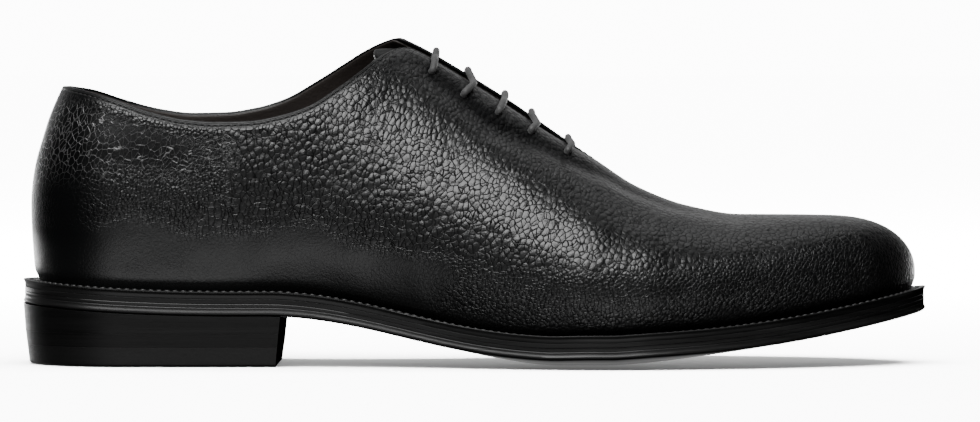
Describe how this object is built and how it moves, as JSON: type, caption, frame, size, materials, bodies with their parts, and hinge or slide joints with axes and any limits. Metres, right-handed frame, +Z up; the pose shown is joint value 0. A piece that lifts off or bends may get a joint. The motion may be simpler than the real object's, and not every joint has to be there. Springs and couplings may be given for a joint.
{
  "type": "whole cut oxford",
  "caption": "Right whole cut oxford dress shoe: one-piece pebbled leather upper, closed lacing over a tongue, welted sole with toe spring and a stacked heel.",
  "frame": {"origin": "on the floor, at the middle of the footprint", "axes": "+X towards the toe, +Z up, the outer (lateral) side of the right foot at -Y"},
  "size_m": [0.306, 0.1028, 0.1105],
  "materials": {
    "upper_leather": "black pebbled calf leather with a soft sheen",
    "lining_leather": "smooth dark brown lining leather",
    "sole_leather": "black dyed and burnished sole leather",
    "heel_rubber": "matt black rubber",
    "lace_cord": "round waxed cotton cord, dark grey"
  },
  "bodies": {
    "root": {"upper": "upper_leather", "tongue": "upper_leather", "insole": "lining_leather", "welt": "sole_leather", "outsole": "sole_leather", "heel_lift_upper": "sole_leather", "heel_lift_lower": "sole_leather", "heel_top_piece": "heel_rubber", "lace_bar_1": "lace_cord", "lace_bar_2": "lace_cord", "lace_bar_3": "lace_cord", "lace_bar_4": "lace_cord", "lace_bar_5": "lace_cord"}
  },
  "joints": []
}
